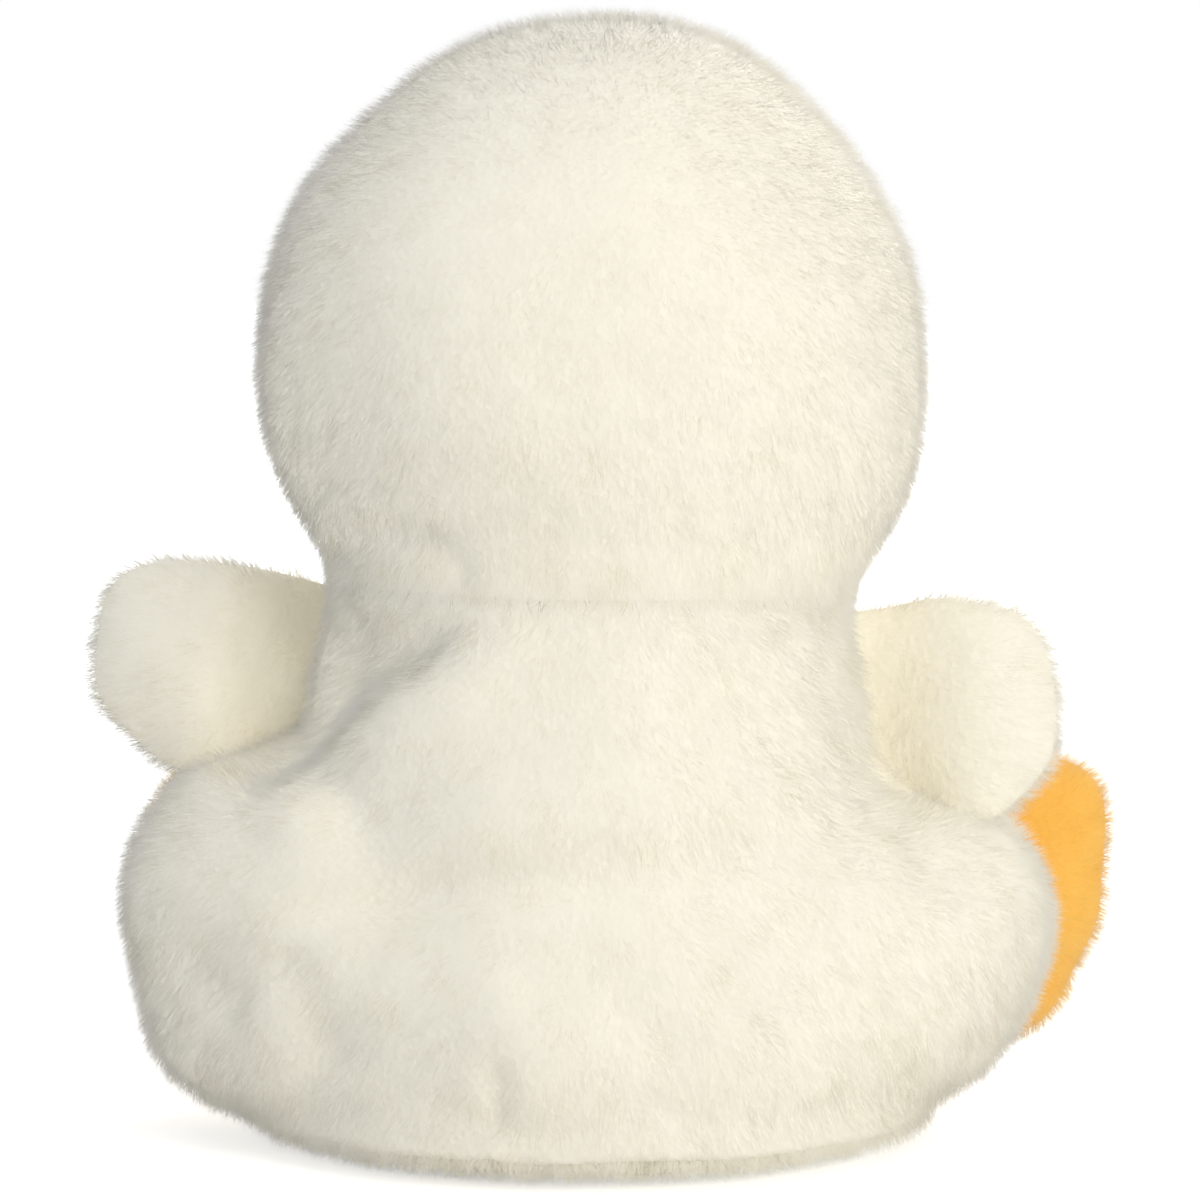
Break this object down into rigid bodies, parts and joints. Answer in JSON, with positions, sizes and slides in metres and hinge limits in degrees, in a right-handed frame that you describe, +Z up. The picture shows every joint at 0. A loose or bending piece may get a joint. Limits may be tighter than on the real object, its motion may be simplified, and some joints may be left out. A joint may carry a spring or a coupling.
{
  "type": "plush goose",
  "caption": "Small seated plush goose with a round head, a flat bill, padded wings and stub legs with orange feet, weighted so that it sits on its flat seat.",
  "frame": {"origin": "on the floor under the middle of the seat", "axes": "+Z up, -Y is the way the goose looks, +X is its left side"},
  "size_m": [0.1095, 0.089, 0.1214],
  "materials": {
    "cream_plush": "short pile plush",
    "orange_plush": "short pile plush",
    "fibrefill": "loose fibre",
    "pouch_fabric": "plain weave",
    "pellets": "loose pellets",
    "thread": "sewing thread",
    "eye_plastic": "polished",
    "washer_plastic": "moulded"
  },
  "bodies": {
    "body": {"body_back_cover": "cream_plush", "body_front_cover": "cream_plush", "base_panel": "cream_plush", "body_stuffing": "fibrefill", "bean_pouch": "pouch_fabric", "bean_pellets": "pellets"},
    "neck_thread": {"neck_seam": "thread"},
    "head": {"head_back_cover": "cream_plush", "head_front_cover": "cream_plush", "head_stuffing": "fibrefill", "beak_upper_cover": "orange_plush", "beak_lower_cover": "orange_plush", "beak_stuffing": "fibrefill", "left_eye": "eye_plastic", "right_eye": "eye_plastic", "left_eye_washer": "washer_plastic", "right_eye_washer": "washer_plastic"},
    "left_wing_thread": {"left_wing_seam": "thread"},
    "left_wing": {"left_wing_back_cover": "cream_plush", "left_wing_front_cover": "cream_plush", "left_wing_stuffing": "fibrefill"},
    "left_leg_thread": {"left_leg_seam": "thread"},
    "left_leg": {"left_leg_cover": "cream_plush", "left_foot_sole": "orange_plush", "left_leg_stuffing": "fibrefill"},
    "right_wing_thread": {"right_wing_seam": "thread"},
    "right_wing": {"right_wing_back_cover": "cream_plush", "right_wing_front_cover": "cream_plush", "right_wing_stuffing": "fibrefill"},
    "right_leg_thread": {"right_leg_seam": "thread"},
    "right_leg": {"right_leg_cover": "cream_plush", "right_foot_sole": "orange_plush", "right_leg_stuffing": "fibrefill"}
  },
  "joints": [
    {"name": "head_turn", "type": "hinge", "parent": "body", "child": "neck_thread", "pos_m": [0, 0, 0.0461], "axis": [0, 0, 1], "range_deg": [-25, 25], "stiffness_Nm_per_rad": 0.05},
    {"name": "head_nod", "type": "hinge", "parent": "neck_thread", "child": "head", "pos_m": [0, 0, 0.0461], "axis": [1, 0, 0], "range_deg": [-10, 10], "stiffness_Nm_per_rad": 0.15},
    {"name": "left_wing_swing", "type": "hinge", "parent": "body", "child": "left_wing_thread", "pos_m": [0.02688, 0, 0.0481], "axis": [0, 0, -1], "range_deg": [-20, 10], "stiffness_Nm_per_rad": 0.005},
    {"name": "left_wing_lift", "type": "hinge", "parent": "left_wing_thread", "child": "left_wing", "pos_m": [0.02688, 0, 0.0481], "axis": [0, -1, 0], "range_deg": [-6, 9], "stiffness_Nm_per_rad": 0.005},
    {"name": "left_leg_splay", "type": "hinge", "parent": "body", "child": "left_leg_thread", "pos_m": [0.0325, -0.01, 0.02], "axis": [0, 0, 1], "range_deg": [0, 12], "stiffness_Nm_per_rad": 0.02},
    {"name": "left_leg_lift", "type": "hinge", "parent": "left_leg_thread", "child": "left_leg", "pos_m": [0.0325, -0.01, 0.02], "axis": [-0.8988, -0.4384, 0], "range_deg": [-10, 10], "stiffness_Nm_per_rad": 0.02},
    {"name": "right_wing_swing", "type": "hinge", "parent": "body", "child": "right_wing_thread", "pos_m": [-0.02688, 0, 0.0481], "axis": [0, 0, 1], "range_deg": [-20, 5], "stiffness_Nm_per_rad": 0.005},
    {"name": "right_wing_lift", "type": "hinge", "parent": "right_wing_thread", "child": "right_wing", "pos_m": [-0.02688, 0, 0.0481], "axis": [0, 1, 0], "range_deg": [0, 18], "stiffness_Nm_per_rad": 0.005},
    {"name": "right_leg_splay", "type": "hinge", "parent": "body", "child": "right_leg_thread", "pos_m": [-0.0325, -0.01, 0.02], "axis": [0, 0, -1], "range_deg": [-6, 6], "stiffness_Nm_per_rad": 0.02},
    {"name": "right_leg_lift", "type": "hinge", "parent": "right_leg_thread", "child": "right_leg", "pos_m": [-0.0325, -0.01, 0.02], "axis": [-0.8387, 0.5446, 0], "range_deg": [-10, 9], "stiffness_Nm_per_rad": 0.02}
  ]
}
